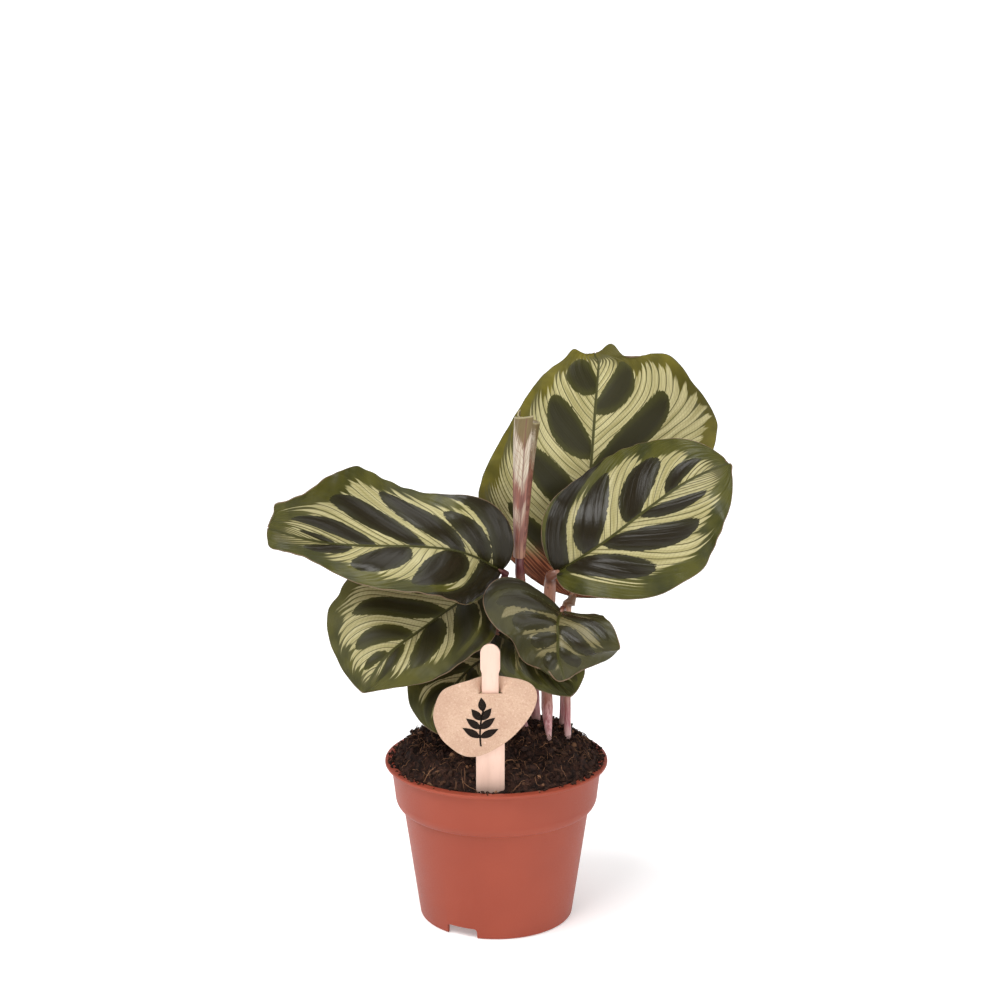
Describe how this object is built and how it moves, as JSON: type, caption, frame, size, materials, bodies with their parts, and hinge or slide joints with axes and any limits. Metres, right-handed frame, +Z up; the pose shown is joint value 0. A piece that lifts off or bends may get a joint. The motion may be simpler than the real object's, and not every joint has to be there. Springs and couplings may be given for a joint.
{
  "type": "potted calathea",
  "caption": "Small patterned-leaf calathea with waved blades, pink stalks and a furled new leaf, in a tapered plastic nursery pot of soil with a blank card on a wooden stick",
  "frame": {"origin": "centre of the flat pad under the pot, on the surface that the pot stands on", "axes": "+Z up, -Y toward the viewer of the picture, +X to the viewer's right"},
  "size_m": [0.1796, 0.0942, 0.2266],
  "materials": {
    "terracotta_plastic": "satin moulded plastic",
    "soil": "rough, crumbly and fibrous",
    "leaf": "smooth with a soft gloss, purple underneath",
    "furled_leaf": "smooth, satin",
    "stalk": "smooth, satin",
    "pale_wood": "unfinished",
    "kraft_card": "uncoated"
  },
  "bodies": {
    "root": {"pot": "terracotta_plastic", "potting_soil": "soil", "back_leaf_blade": "leaf", "back_leaf_stalk": "stalk", "right_leaf_blade": "leaf", "right_leaf_stalk": "stalk", "left_leaf_blade": "leaf", "left_leaf_stalk": "stalk", "low_left_leaf_blade": "leaf", "low_left_leaf_stalk": "stalk", "front_leaf_blade": "leaf", "front_leaf_stalk": "stalk", "low_shaded_leaf_blade": "leaf", "low_shaded_leaf_stalk": "stalk", "low_front_leaf_blade": "leaf", "low_front_leaf_stalk": "stalk", "furled_leaf_blade": "furled_leaf", "furled_leaf_stalk": "stalk", "label_stick": "pale_wood", "label_card": "kraft_card"}
  },
  "joints": []
}
